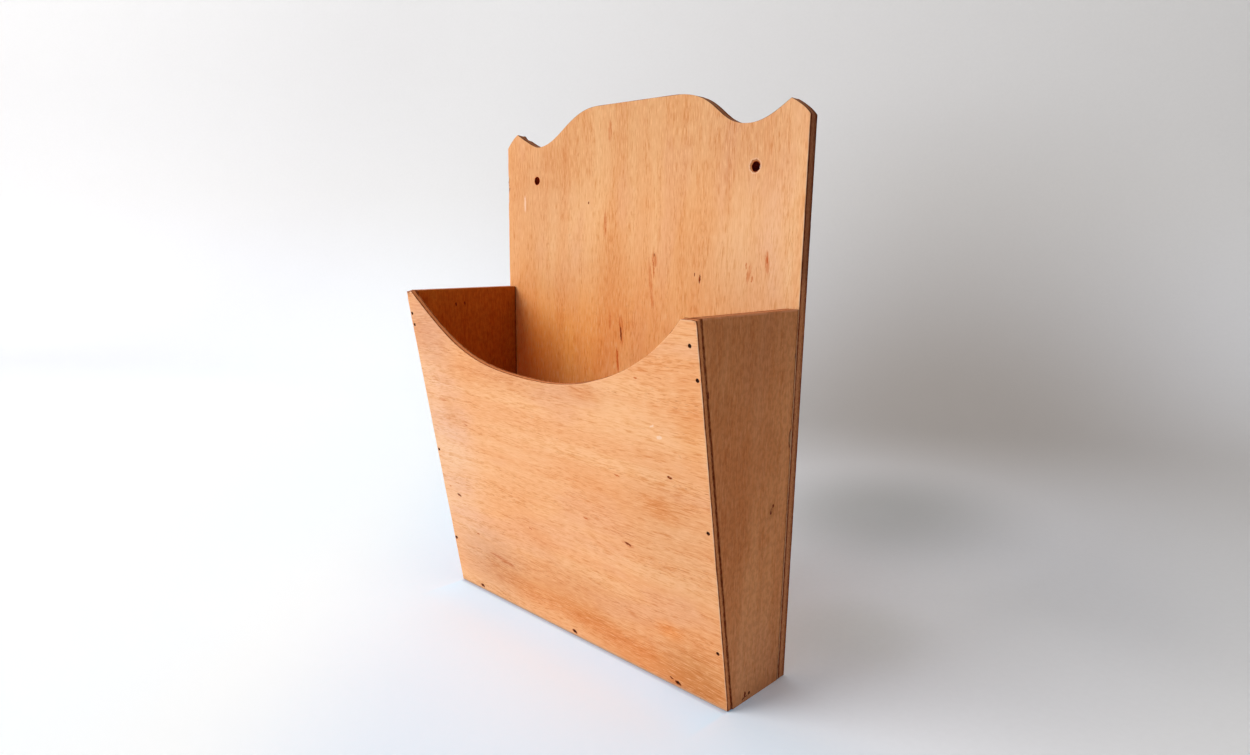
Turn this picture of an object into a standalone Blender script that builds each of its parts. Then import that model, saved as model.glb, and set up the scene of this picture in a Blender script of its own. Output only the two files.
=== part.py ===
"""Wall mail holder of nailed plywood: a slanting pocket on a back board with a shaped top.

Units are metres and +Z is up. The wall is behind, at +Y, and the pocket faces -Y. The origin is
the middle of the holder's box, at the height of the foot. Left and right are as seen from the front.
"""

import math

import bmesh
import bpy
from mathutils import Matrix, Vector

MM = 0.001

# Boards
HOLDER_WIDTH = 225 * MM
BACK_HEIGHT = 305 * MM
POCKET_HEIGHT = 198 * MM
FOOT_DEPTH = 50.6 * MM
RIM_DEPTH = 85.8 * MM
BACK_THICKNESS = 6.5 * MM
SIDE_THICKNESS = 6.5 * MM
BOTTOM_THICKNESS = 6.5 * MM
FRONT_THICKNESS = 3.6 * MM
JOINT_GAP = 0.3 * MM
ARRIS_ROUND = 0.4 * MM

# Shaped top of the back board, sawn by hand: down from the crown and in from each edge
CROWN_FLAT = 56.8 * MM
HORN_FLANK_RUN = 6.0 * MM
HORN_FLANK_RISE = 3.6 * MM
HORN_TIP_RUN = 3.6 * MM
HORN_TIP_FALL = 1.9 * MM
CORNER_RUN = 2.4 * MM
CORNER_RISE = 3.2 * MM
LEFT_SHOULDER_REACH = 26.0 * MM
LEFT_VALLEY_INSET = 30.2 * MM
LEFT_VALLEY_DROP = 19.8 * MM
LEFT_VALLEY_REACH_IN = 19.8 * MM
LEFT_VALLEY_REACH_OUT = 3.2 * MM
LEFT_HORN_INSET = 10.0 * MM
LEFT_HORN_DROP = 10.8 * MM
LEFT_CORNER_DROP = 18.9 * MM
RIGHT_SHOULDER_REACH = 31.1 * MM
RIGHT_VALLEY_INSET = 34.6 * MM
RIGHT_VALLEY_DROP = 18.0 * MM
RIGHT_VALLEY_REACH_IN = 21.0 * MM
RIGHT_VALLEY_REACH_OUT = 10.1 * MM
RIGHT_HORN_INSET = 10.8 * MM
RIGHT_HORN_DROP = 8.5 * MM
RIGHT_CORNER_DROP = 16.7 * MM
CURVE_STEPS = 9

# Hanging holes through the back board
HANGING_HOLE = 5.0 * MM
LEFT_HOLE_DROP = 40.0 * MM
RIGHT_HOLE_DROP = 39.0 * MM
HOLE_INSET = 29.2 * MM
HOLE_SIDES = 24

# Scoop in the front panel's rim, sawn by hand: its lowest point lies a little to the right
SCOOP_DEPTH = 42.2 * MM
SCOOP_OFF_MIDDLE = 2.8 * MM
LEFT_RIM_FLAT = 5.4 * MM
LEFT_LIP_RUN = 35.0 * MM
LEFT_LIP_FALL = 31.8 * MM
LEFT_FLOOR_REACH = 60.0 * MM
RIGHT_RIM_FLAT = 8.9 * MM
RIGHT_LIP_RUN = 29.6 * MM
RIGHT_LIP_FALL = 32.7 * MM
RIGHT_FLOOR_REACH = 26.1 * MM
SCOOP_STEPS = 12

# Panel pins, punched below the surface
PIN_SHANK = 1.25 * MM
PIN_HEAD = 1.9 * MM
PIN_HEAD_HEIGHT = 0.6 * MM
PIN_NECK = 0.4 * MM
PIN_POINT = 1.8 * MM
PIN_SUNK = 0.8 * MM
PIN_CLEARANCE = 0.15 * MM
PIN_SIDES = 12
SHORT_PIN = 15 * MM
LONG_PIN = 20 * MM

# Where the pins are: up from the foot or down from the rim, out from the side board's middle,
# and along the foot in from each end or to the right of the middle
FRONT_PINS_UP = {"left": (33.1 * MM, 97.1 * MM), "right": (33.5 * MM, 99.6 * MM)}
FRONT_PINS_DOWN = {"left": (20.8 * MM, 13.7 * MM), "right": (26.6 * MM, 11.4 * MM)}
FRONT_PINS_OUT = {
    "left": (1.1 * MM, 1.2 * MM, 1.0 * MM, 1.2 * MM),
    "right": (0.0 * MM, 0.2 * MM, 1.3 * MM, -1.5 * MM),
}
BACK_PINS_UP = (26 * MM, 82 * MM)
BACK_PINS_DOWN = (60 * MM, 14 * MM)
FRONT_FOOT_PINS_IN = {"left": 23.5 * MM, "right": 31.9 * MM}
BACK_FOOT_PINS_IN = {"left": 40.5 * MM, "right": 38.5 * MM}
FRONT_FOOT_PIN_OFF_MIDDLE = 1 * MM
BACK_FOOT_PIN_OFF_MIDDLE = 3 * MM
SIDE_PIN_FROM_WALL = 32.5 * MM

SLANT = math.atan2(RIM_DEPTH - FOOT_DEPTH, POCKET_HEIGHT)
RIM_ARRIS_Z = POCKET_HEIGHT - FRONT_THICKNESS * math.sin(SLANT)
HOLDER_DEPTH = FOOT_DEPTH + RIM_ARRIS_Z * math.tan(SLANT)
PANEL_LENGTH = RIM_ARRIS_Z / math.cos(SLANT)
WALL_Y = HOLDER_DEPTH / 2
HALF_WIDTH = HOLDER_WIDTH / 2
SIDE_MIDDLE_X = HALF_WIDTH - SIDE_THICKNESS / 2
PIN_LINE_Z = BOTTOM_THICKNESS / 2
CUTTER_MARGIN = 2 * MM

OUTWARD_FRONT = Vector((0, -math.cos(SLANT), -math.sin(SLANT)))
TOWARDS_WALL = Vector((0, 1, 0))
TOWARDS_FRONT = Vector((0, -1, 0))

VENEER = (0.62, 0.33, 0.15)
FRONT_VENEER = (0.66, 0.36, 0.17)
STEEL = (0.16, 0.14, 0.13)


def clear_scene():
    for obj in list(bpy.data.objects):
        bpy.data.objects.remove(obj)


def new_collection(name, parent=None):
    collection = bpy.data.collections.new(name)
    (parent or bpy.context.scene.collection).children.link(collection)
    return collection


def new_material(name, colour, roughness, metallic=0.0):
    material = bpy.data.materials.new(name)
    material.use_nodes = True
    shader = material.node_tree.nodes["Principled BSDF"]
    shader.inputs["Base Color"].default_value = (*colour, 1.0)
    shader.inputs["Roughness"].default_value = roughness
    shader.inputs["Metallic"].default_value = metallic
    material.diffuse_color = (*colour, 1.0)
    return material


def in_front_of_wall(distance):
    """The y of a plane that stands this far in front of the wall."""
    return WALL_Y - distance


def front_face_depth(z):
    """How far the front panel's outer face stands in front of the wall at height z."""
    return FOOT_DEPTH + z * math.tan(SLANT)


def seat_depth(z):
    """How far from the wall the sides and the bottom may reach under the front panel."""
    return front_face_depth(z) - (FRONT_THICKNESS + JOINT_GAP) / math.cos(SLANT)


def on_front_panel(x, up):
    """A point of the front panel's outer face."""
    return Vector((x, in_front_of_wall(FOOT_DEPTH) - up * math.sin(SLANT), up * math.cos(SLANT)))


def bend(x, y, before=(0, 0), after=(0, 0)):
    """A Bezier point with its handles given as steps from it; without handles it is a corner."""
    point = Vector((x, y, 0))
    return point, point + Vector((*before, 0)), point + Vector((*after, 0))


def mirrored(bends):
    """The same stretch of outline on the other side of the middle, in reverse order."""
    flip = Matrix.Diagonal((-1, 1, 1))
    return [(flip @ point, flip @ after, flip @ before) for point, before, after in reversed(bends)]


def outline_curve(name, bends, thickness, steps):
    curve = bpy.data.curves.new(name, "CURVE")
    curve.dimensions = "2D"
    curve.fill_mode = "BOTH"
    curve.extrude = thickness / 2
    curve.resolution_u = steps
    spline = curve.splines.new("BEZIER")
    spline.bezier_points.add(len(bends) - 1)
    for place, (point, before, after) in zip(spline.bezier_points, bends):
        place.co = point
        place.handle_left_type = place.handle_right_type = "FREE"
        place.handle_left = before
        place.handle_right = after
    spline.use_cyclic_u = True
    return curve


def board(name, bends, thickness, location, rotation, material, collection, steps=1):
    """A flat board cut to an outline, as a closed mesh object at its place."""
    curve = outline_curve(name + "_outline", bends, thickness, steps)
    guide = bpy.data.objects.new(name + "_outline", curve)
    guide.location = location
    guide.rotation_euler = rotation
    collection.objects.link(guide)
    bpy.context.view_layer.update()
    evaluated = guide.evaluated_get(bpy.context.evaluated_depsgraph_get())
    mesh = bpy.data.meshes.new_from_object(evaluated)
    form = bmesh.new()
    form.from_mesh(mesh)
    bmesh.ops.remove_doubles(form, verts=form.verts, dist=0.001 * MM)
    bmesh.ops.dissolve_limit(form, angle_limit=math.radians(0.3), verts=form.verts, edges=form.edges)
    form.to_mesh(mesh)
    form.free()
    made = bpy.data.objects.new(name, mesh)
    made.matrix_world = guide.matrix_world
    bpy.data.objects.remove(guide)
    mesh.materials.clear()
    mesh.materials.append(material)
    collection.objects.link(made)
    return made


def turned(name, profile, sides, collection):
    """A solid of revolution about its own Z, from (radius, height) points that run top to bottom."""
    mesh = bpy.data.meshes.new(name)
    form = bmesh.new()
    corners = [form.verts.new((radius, 0, height)) for radius, height in profile]
    for upper, lower in zip(corners, corners[1:]):
        form.edges.new((upper, lower))
    form.to_mesh(mesh)
    form.free()
    made = bpy.data.objects.new(name, mesh)
    collection.objects.link(made)
    screw = made.modifiers.new("turn", "SCREW")
    screw.steps = screw.render_steps = sides
    screw.use_merge_vertices = True
    screw.merge_threshold = 0.001 * MM
    return made


def place_along(obj, point, outward):
    """Puts the object at a point with its own +Z along the outward direction."""
    obj.location = point
    obj.rotation_mode = "QUATERNION"
    obj.rotation_quaternion = outward.to_track_quat("Z", "Y")


def pin_profile(length):
    head, shank = PIN_HEAD / 2, PIN_SHANK / 2
    return [
        (0, 0),
        (head, 0),
        (head, -PIN_HEAD_HEIGHT),
        (shank, -PIN_HEAD_HEIGHT - PIN_NECK),
        (shank, -length + PIN_POINT),
        (0, -length),
    ]


def pin_hole_profile(length):
    head, shank = PIN_HEAD / 2 + PIN_CLEARANCE, PIN_SHANK / 2 + PIN_CLEARANCE
    return [
        (0, PIN_SUNK + CUTTER_MARGIN),
        (head, PIN_SUNK + CUTTER_MARGIN),
        (head, -PIN_HEAD_HEIGHT - PIN_CLEARANCE),
        (shank, -PIN_HEAD_HEIGHT - PIN_NECK - PIN_CLEARANCE),
        (shank, -length - PIN_CLEARANCE),
        (0, -length - PIN_CLEARANCE),
    ]


def back_edge(shoulder_reach, valley, valley_reaches, horn, corner_drop):
    """The right half of a back board's outline, from the crown to the corner and down to the foot.

    The valley and the horn are each given as how far they lie in from the edge and down from the crown.
    """
    top = BACK_HEIGHT
    reach_in, reach_out = valley_reaches
    horn_handles = (-HORN_FLANK_RUN, -HORN_FLANK_RISE), (HORN_TIP_RUN, -HORN_TIP_FALL)
    return [
        bend(CROWN_FLAT / 2, top, after=(shoulder_reach, 0)),
        bend(HALF_WIDTH - valley[0], top - valley[1], (-reach_in, 0), (reach_out, 0)),
        bend(HALF_WIDTH - horn[0], top - horn[1], *horn_handles),
        bend(HALF_WIDTH, top - corner_drop, before=(-CORNER_RUN, CORNER_RISE)),
        bend(HALF_WIDTH, 0),
    ]


def back_outline():
    right = back_edge(
        RIGHT_SHOULDER_REACH,
        (RIGHT_VALLEY_INSET, RIGHT_VALLEY_DROP),
        (RIGHT_VALLEY_REACH_IN, RIGHT_VALLEY_REACH_OUT),
        (RIGHT_HORN_INSET, RIGHT_HORN_DROP),
        RIGHT_CORNER_DROP,
    )
    left = back_edge(
        LEFT_SHOULDER_REACH,
        (LEFT_VALLEY_INSET, LEFT_VALLEY_DROP),
        (LEFT_VALLEY_REACH_IN, LEFT_VALLEY_REACH_OUT),
        (LEFT_HORN_INSET, LEFT_HORN_DROP),
        LEFT_CORNER_DROP,
    )
    return right + mirrored(left)


def front_outline():
    """The front panel, a little long at the foot, where it is planed level with the floor."""
    rim, floor = PANEL_LENGTH, PANEL_LENGTH - SCOOP_DEPTH
    return [
        bend(HALF_WIDTH, -FRONT_THICKNESS),
        bend(HALF_WIDTH, rim),
        bend(HALF_WIDTH - RIGHT_RIM_FLAT, rim, after=(-RIGHT_LIP_RUN, -RIGHT_LIP_FALL)),
        bend(SCOOP_OFF_MIDDLE, floor, (RIGHT_FLOOR_REACH, 0), (-LEFT_FLOOR_REACH, 0)),
        bend(LEFT_RIM_FLAT - HALF_WIDTH, rim, before=(LEFT_LIP_RUN, -LEFT_LIP_FALL)),
        bend(-HALF_WIDTH, rim),
        bend(-HALF_WIDTH, -FRONT_THICKNESS),
    ]


def pocket_profile(height):
    """Section of the space under the front panel up to a height, in wall distance and height."""
    behind = in_front_of_wall(BACK_THICKNESS + JOINT_GAP)
    return [
        bend(behind, 0),
        bend(behind, height),
        bend(in_front_of_wall(seat_depth(height)), height),
        bend(in_front_of_wall(seat_depth(0)), 0),
    ]


def make_boards(collection):
    veneer = new_material("plywood", VENEER, 0.45)
    front_veneer = new_material("front_plywood", FRONT_VENEER, 0.45)
    upright = (math.radians(90), 0, 0)
    on_edge = (math.radians(90), 0, math.radians(90))
    boards = {
        "back_board": board(
            "back_board",
            back_outline(),
            BACK_THICKNESS,
            (0, in_front_of_wall(BACK_THICKNESS / 2), 0),
            upright,
            veneer,
            collection,
            CURVE_STEPS,
        ),
        "front_panel": board(
            "front_panel",
            front_outline(),
            FRONT_THICKNESS,
            on_front_panel(0, 0) - OUTWARD_FRONT * FRONT_THICKNESS / 2,
            (math.radians(90) + SLANT, 0, 0),
            front_veneer,
            collection,
            SCOOP_STEPS,
        ),
        "bottom_board": board(
            "bottom_board",
            pocket_profile(BOTTOM_THICKNESS),
            HOLDER_WIDTH - 2 * (SIDE_THICKNESS + JOINT_GAP),
            (0, 0, 0),
            on_edge,
            veneer,
            collection,
        ),
    }
    for side, sign in (("left", -1), ("right", 1)):
        name = side + "_side"
        profile = pocket_profile(POCKET_HEIGHT)
        location = (sign * SIDE_MIDDLE_X, 0, 0)
        boards[name] = board(name, profile, SIDE_THICKNESS, location, on_edge, veneer, collection)
    return boards


def foot_pin_places(insets, off_middle):
    """Where the pins along the foot stand in x, from left to right."""
    return -HALF_WIDTH + insets["left"], off_middle, HALF_WIDTH - insets["right"]


def pin_places():
    """Each pin's name, head point on the surface, outward direction, length and the boards it holds."""
    places = []

    def add(name, point, outward, length, *board_names):
        places.append((name, point, outward, length, board_names))

    for side, sign in (("left", -1), ("right", 1)):
        board_name = side + "_side"
        ups = FRONT_PINS_UP[side] + tuple(PANEL_LENGTH - down for down in FRONT_PINS_DOWN[side])
        for count, (up, out) in enumerate(zip(ups, FRONT_PINS_OUT[side]), 1):
            point = on_front_panel(sign * (SIDE_MIDDLE_X + out), up)
            add(f"front_pin_{side}_{count}", point, OUTWARD_FRONT, SHORT_PIN, "front_panel", board_name)
        ups = BACK_PINS_UP + tuple(POCKET_HEIGHT - down for down in BACK_PINS_DOWN)
        for count, up in enumerate(ups, 1):
            point = Vector((sign * SIDE_MIDDLE_X, WALL_Y, up))
            add(f"back_pin_{side}_{count}", point, TOWARDS_WALL, LONG_PIN, "back_board", board_name)
        point = Vector((sign * HALF_WIDTH, in_front_of_wall(SIDE_PIN_FROM_WALL), PIN_LINE_Z))
        add(f"side_pin_{side}", point, Vector((sign, 0, 0)), LONG_PIN, board_name, "bottom_board")
    for count, x in enumerate(foot_pin_places(FRONT_FOOT_PINS_IN, FRONT_FOOT_PIN_OFF_MIDDLE), 1):
        point = Vector((x, in_front_of_wall(front_face_depth(PIN_LINE_Z)), PIN_LINE_Z))
        add(f"front_pin_foot_{count}", point, TOWARDS_FRONT, SHORT_PIN, "front_panel", "bottom_board")
    for count, x in enumerate(foot_pin_places(BACK_FOOT_PINS_IN, BACK_FOOT_PIN_OFF_MIDDLE), 1):
        point = Vector((x, WALL_Y, PIN_LINE_Z))
        add(f"back_pin_foot_{count}", point, TOWARDS_WALL, LONG_PIN, "back_board", "bottom_board")
    return places


def make_pins(collection, cutters):
    """The pins, and a hole cutter for each in the cutter collection of both boards it holds."""
    steel = new_material("pin_steel", STEEL, 0.5, 0.9)
    for name, surface, outward, length, board_names in pin_places():
        head = surface - outward * PIN_SUNK
        pin = turned(name, pin_profile(length), PIN_SIDES, collection)
        pin.data.materials.append(steel)
        place_along(pin, head, outward)
        hole = turned(name + "_hole", pin_hole_profile(length), PIN_SIDES, cutters[board_names[0]])
        cutters[board_names[1]].objects.link(hole)
        place_along(hole, head, outward)


def make_hanging_hole_cutters(cutters):
    length = BACK_THICKNESS + 2 * CUTTER_MARGIN
    radius = HANGING_HOLE / 2
    top, bottom = CUTTER_MARGIN, CUTTER_MARGIN - length
    profile = [(0, top), (radius, top), (radius, bottom), (0, bottom)]
    for side, sign, drop in (("left", -1, LEFT_HOLE_DROP), ("right", 1, RIGHT_HOLE_DROP)):
        hole = turned(f"hanging_hole_{side}", profile, HOLE_SIDES, cutters["back_board"])
        point = Vector((sign * (HALF_WIDTH - HOLE_INSET), WALL_Y, BACK_HEIGHT - drop))
        place_along(hole, point, TOWARDS_WALL)


def make_foot_plane(collection):
    """A block under the floor, which planes the front panel's foot level."""
    mesh = bpy.data.meshes.new("foot_plane")
    form = bmesh.new()
    size = Vector((HOLDER_WIDTH, HOLDER_DEPTH, HOLDER_DEPTH)) * 2
    bmesh.ops.create_cube(form, size=1, matrix=Matrix.Diagonal((*size, 1)))
    form.to_mesh(mesh)
    form.free()
    block = bpy.data.objects.new("foot_plane", mesh)
    block.location = (0, 0, -size.z / 2)
    collection.objects.link(block)
    return block


def round_arrises(obj):
    bevel = obj.modifiers.new("sanded_arrises", "BEVEL")
    bevel.width = ARRIS_ROUND
    bevel.segments = 2
    bevel.limit_method = "ANGLE"
    bevel.angle_limit = math.radians(35)
    bevel.use_clamp_overlap = True


def cut_with(obj, name, cutter=None, collection=None):
    cut = obj.modifiers.new(name, "BOOLEAN")
    cut.operation = "DIFFERENCE"
    if collection is None:
        cut.object = cutter
    else:
        cut.operand_type = "COLLECTION"
        cut.collection = collection


def main():
    clear_scene()
    holder = new_collection("wall_mail_holder")
    all_cutters = new_collection("cutters")
    boards = make_boards(holder)
    cutters = {name: new_collection(name + "_holes", all_cutters) for name in boards}
    make_pins(holder, cutters)
    make_hanging_hole_cutters(cutters)
    foot_plane = make_foot_plane(all_cutters)
    cut_with(boards["front_panel"], "planed_foot", cutter=foot_plane)
    for name, made in boards.items():
        round_arrises(made)
        cut_with(made, "holes", collection=cutters[name])
    for helper in all_cutters.all_objects:
        helper.hide_render = True
        helper.display_type = "WIRE"


main()
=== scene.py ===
"""Looks of the plywood mail holder: five worn, varnished boards, the pins in them, and a pale studio.

Every board is modelled in its own flat frame, where u runs across it, v up it and w out of its outer
face, measured from the middle of its thickness. Lengths in the frames and on the materials are metres.
"""

import math

import bmesh
import bpy
from mathutils import Matrix, Vector, geometry, noise


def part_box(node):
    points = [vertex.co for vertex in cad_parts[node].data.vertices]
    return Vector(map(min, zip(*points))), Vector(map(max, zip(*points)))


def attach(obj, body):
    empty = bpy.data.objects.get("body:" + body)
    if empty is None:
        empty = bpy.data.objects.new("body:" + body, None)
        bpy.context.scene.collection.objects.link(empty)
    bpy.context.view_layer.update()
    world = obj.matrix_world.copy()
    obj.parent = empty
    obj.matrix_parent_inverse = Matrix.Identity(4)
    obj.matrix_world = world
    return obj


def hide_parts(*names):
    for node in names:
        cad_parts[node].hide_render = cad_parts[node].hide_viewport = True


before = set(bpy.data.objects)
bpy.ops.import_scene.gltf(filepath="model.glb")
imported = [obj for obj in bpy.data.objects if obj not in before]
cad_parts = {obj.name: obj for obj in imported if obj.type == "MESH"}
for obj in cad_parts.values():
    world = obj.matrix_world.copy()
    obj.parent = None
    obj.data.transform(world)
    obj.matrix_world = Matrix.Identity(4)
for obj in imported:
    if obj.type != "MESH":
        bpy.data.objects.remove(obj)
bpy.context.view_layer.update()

MM = 0.001

# Shape of the back board's top, as it is sawn: places are in from the edge and down from the crown
CROWN_FLAT = 56.8 * MM
HORN_FLANK = (6.0 * MM, 3.6 * MM)
HORN_TIP = (3.6 * MM, 1.9 * MM)
CORNER_CLIP = (2.4 * MM, 3.2 * MM)
TOPS = {
    "left": {
        "shoulder": 26.0 * MM, "valley": (30.2 * MM, 19.8 * MM), "valley_reaches": (19.8 * MM, 3.2 * MM),
        "horn": (10.0 * MM, 10.8 * MM), "corner": 18.9 * MM, "hole": (29.2 * MM, 40.0 * MM),
    },
    "right": {
        "shoulder": 31.1 * MM, "valley": (34.6 * MM, 18.0 * MM), "valley_reaches": (21.0 * MM, 10.1 * MM),
        "horn": (10.8 * MM, 8.5 * MM), "corner": 16.7 * MM, "hole": (29.2 * MM, 39.0 * MM),
    },
}
HANGING_HOLE = 5.0 * MM
HOLE_TAPER = 0.35 * MM

# The scoop in the front panel's rim, with its lowest point a little to the right of the middle
SCOOP_DEPTH = 42.2 * MM
SCOOP_OFF_MIDDLE = 2.8 * MM
LIPS = {
    "left": {"flat": 5.4 * MM, "run": 35.0 * MM, "fall": 31.8 * MM, "floor": 60.0 * MM},
    "right": {"flat": 8.9 * MM, "run": 29.6 * MM, "fall": 32.7 * MM, "floor": 26.1 * MM},
}
JOINT_GAP = 0.3 * MM

# Plies, arrises and the fineness of the meshes
FACE_PLY = 1.25 * MM
THIN_FACE_PLY = 0.8 * MM
RIM_STEP = 1.5 * MM
FACE_STEP = 6.0 * MM
SNAP = 0.01 * MM
CORNER_ROUND = 0.35 * MM
ARRIS_ROUND = 0.35 * MM
ARRIS_SEGMENTS = 3
RUBBED_ROUND = 1.1 * MM
PLY_STEP_DEPTH = 0.1 * MM
FACE_SETBACK = 0.04 * MM
FACE_WAVE = 0.1 * MM
ARRIS_WEAR = 0.25 * MM
GLUE_WIDTH = 0.15 * MM
TINY_EDGE = 0.001 * MM
SAME_PLACE = 0.002 * MM
SHARP_TURN = math.radians(25)

# Chips along the back board's left arris: height and depth in mm
LEFT_ARRIS_CHIPS = ((268, 0.4), (261, 0.55), (255, 0.4))

# Pins, punched below the surface
PIN_SHANK = 1.25 * MM
PIN_HEAD = 1.9 * MM
PIN_SUNK = 0.8 * MM
PIN_CLEARANCE = 0.13 * MM


def srgb(red, green, blue):
    """A colour given as a screen shows it, from 0 to 255, as the shader's linear values."""
    parts = [value / 255 for value in (red, green, blue)]
    return tuple(part / 12.92 if part < 0.04045 else ((part + 0.055) / 1.055) ** 2.4 for part in parts)


# Frames of the boards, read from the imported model

def facing_normal(node, towards):
    """The normal of the node's largest triangle that faces roughly towards a direction."""
    polygons = [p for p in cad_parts[node].data.polygons if p.normal.dot(Vector(towards)) > 0.8]
    return max(polygons, key=lambda polygon: polygon.area).normal.copy()


class Flat:
    """A board's own frame: axes u, v and w, its size along them, and its place in the holder."""

    def __init__(self, node, outward, up, seed):
        self.node = node
        self.seed = seed
        self.side = node.split("_")[0]
        self.w = facing_normal(node, outward)
        self.u = Vector(up).cross(self.w).normalized()
        self.v = self.w.cross(self.u)
        corners = [vertex.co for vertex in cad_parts[node].data.vertices]
        spans = [[axis.dot(corner) for corner in corners] for axis in (self.u, self.v, self.w)]
        self.low = Vector([min(span) for span in spans])
        self.high = Vector([max(span) for span in spans])
        self.thickness = self.high.z - self.low.z
        self.middle = (self.low.z + self.high.z) / 2
        turn = Matrix((self.u, self.v, self.w)).transposed().to_4x4()
        self.place = turn @ Matrix.Translation((0, 0, self.middle))
        self.inverse = self.place.inverted()

    def local(self, point):
        return self.inverse @ Vector(point)


back = Flat("back_board", (0, -1, 0), (0, 0, 1), 1)
front = Flat("front_panel", (0, -1, 0), (0, 0, 1), 2)
left = Flat("left_side", (-1, 0, 0), (0, 0, 1), 3)
right = Flat("right_side", (1, 0, 0), (0, 0, 1), 4)
bottom = Flat("bottom_board", (0, 0, 1), (0, 1, 0), 5)

HALF_WIDTH = back.high.x
WALL_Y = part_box("back_board")[1].y
BACK_FACE_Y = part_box("back_board")[0].y
FRONT_FOOT_Y = front.high.z / front.w.y
POCKET_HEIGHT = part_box("right_side")[1].z
SIDE_INNER_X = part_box("right_side")[0].x


# Outlines

def bezier_run(start, start_handle, end_handle, end):
    """Points about one rim step apart along a Bezier stretch, without its last one."""
    count = max(3, round((Vector(end) - Vector(start)).length / RIM_STEP))
    points = geometry.interpolate_bezier(start, start_handle, end_handle, end, count + 1)
    return [point.to_2d() for point in points[:-1]]


def straight_run(start, end):
    start, end = Vector(start), Vector(end)
    count = max(1, round((end - start).length / RIM_STEP))
    return [start.lerp(end, step / count) for step in range(count)]


def from_corner(inset, drop):
    """A place on the right half of the back board, in from its edge and down from its crown."""
    return Vector((HALF_WIDTH - inset, back.high.y - drop))


def back_edge(top):
    """The right half of the back board's outline, from the crown round the horn and down to the foot."""
    crown = Vector((CROWN_FLAT / 2, back.high.y))
    valley, horn = from_corner(*top["valley"]), from_corner(*top["horn"])
    corner = from_corner(0, top["corner"])
    reach_in, reach_out = top["valley_reaches"]
    points = bezier_run(crown, crown + Vector((top["shoulder"], 0)), valley - Vector((reach_in, 0)), valley)
    points += bezier_run(valley, valley + Vector((reach_out, 0)), horn - Vector(HORN_FLANK), horn)
    tip_handle = horn + Vector((HORN_TIP[0], -HORN_TIP[1]))
    clip_handle = corner + Vector((-CORNER_CLIP[0], CORNER_CLIP[1]))
    points += bezier_run(horn, tip_handle, clip_handle, corner)
    points += straight_run(corner, (HALF_WIDTH, 0))
    return points


RIGHT_HOLE = from_corner(*TOPS["right"]["hole"])
LEFT_HOLE = from_corner(*TOPS["left"]["hole"]) * Vector((-1, 1))


def mirrored(points):
    return [Vector((-point.x, point.y)) for point in reversed(points)]


def back_outline():
    foot = straight_run((HALF_WIDTH, 0), (-HALF_WIDTH, 0))
    crown = straight_run((-CROWN_FLAT / 2, back.high.y), (CROWN_FLAT / 2, back.high.y))
    return back_edge(TOPS["right"]) + foot + mirrored(back_edge(TOPS["left"])) + crown[1:]


def lip(side, sign):
    """An end of the scoop on the rim, its handle, and the lowest point's handle towards it."""
    values = LIPS[side]
    end = Vector((sign * (HALF_WIDTH - values["flat"]), front.high.y))
    handle = end - Vector((sign * values["run"], values["fall"]))
    floor_handle = Vector((SCOOP_OFF_MIDDLE + sign * values["floor"], front.high.y - SCOOP_DEPTH))
    return end, handle, floor_handle


def front_outline():
    """The front panel with its scoop, a little long at the foot, where it is planed level."""
    rim, foot = front.high.y, front.low.y - front.thickness
    low = Vector((SCOOP_OFF_MIDDLE, rim - SCOOP_DEPTH))
    right_end, right_handle, right_floor = lip("right", 1)
    left_end, left_handle, left_floor = lip("left", -1)
    right_foot, right_rim = (HALF_WIDTH, foot), (HALF_WIDTH, rim)
    left_foot, left_rim = (-HALF_WIDTH, foot), (-HALF_WIDTH, rim)
    points = straight_run(right_foot, right_rim) + straight_run(right_rim, right_end)
    points += bezier_run(right_end, right_handle, right_floor, low)
    points += bezier_run(low, left_floor, left_handle, left_end)
    points += straight_run(left_end, left_rim) + straight_run(left_rim, left_foot)
    return points + straight_run(left_foot, right_foot)


def behind_front_panel(z):
    """The y at which the sides and the bottom end behind the front panel, at height z."""
    reach = -(front.low.z - JOINT_GAP)
    return (front.w.z * z + reach) / -front.w.y


def pocket_outline(height):
    """Section of the space between the back board and the front panel, as points (y, z)."""
    behind = BACK_FACE_Y - JOINT_GAP
    slant = ((behind_front_panel(height), height), (behind_front_panel(0), 0))
    corners = [Vector(place) for place in ((behind, 0), (behind, height), *slant)]
    points = []
    for start, end in zip(corners, corners[1:] + corners[:1]):
        points += straight_run(start, end)
    return points


# Making a board

def flat_faces(form):
    return [face for face in form.faces if abs(face.normal.z) > 0.99]


def with_parts(faces):
    """The faces with their edges and vertices, as the cutting operators want them."""
    edges = {edge for face in faces for edge in face.edges}
    verts = {vert for face in faces for vert in face.verts}
    return list(verts) + list(edges) + list(faces)


def only(made, kind):
    return [part for part in made if isinstance(part, kind)]


def face_outwards(form):
    bmesh.ops.recalc_face_normals(form, faces=form.faces)


def open_chain(form, points):
    """Points joined by edges, one after the other."""
    chain = [form.verts.new(point) for point in points]
    return chain, [form.edges.new(pair) for pair in zip(chain, chain[1:])]


def slab(outline, thickness):
    """A closed prism from an outline, centred on its own plane."""
    form = bmesh.new()
    rim = [form.verts.new((point.x, point.y, -thickness / 2)) for point in outline]
    face = form.faces.new(rim)
    made = bmesh.ops.extrude_face_region(form, geom=[face])
    lifted = only(made["geom"], bmesh.types.BMVert)
    bmesh.ops.translate(form, verts=lifted, vec=(0, 0, thickness))
    face_outwards(form)
    return form


def plane_off(form, point, outward):
    """Saws away what lies on the outward side of a plane and closes the cut."""
    cut = bmesh.ops.bisect_plane(
        form, geom=with_parts(form.faces), dist=1e-7, plane_co=point, plane_no=outward, clear_outer=True
    )
    bmesh.ops.contextual_create(form, geom=only(cut["geom_cut"], bmesh.types.BMEdge))
    face_outwards(form)


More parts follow.
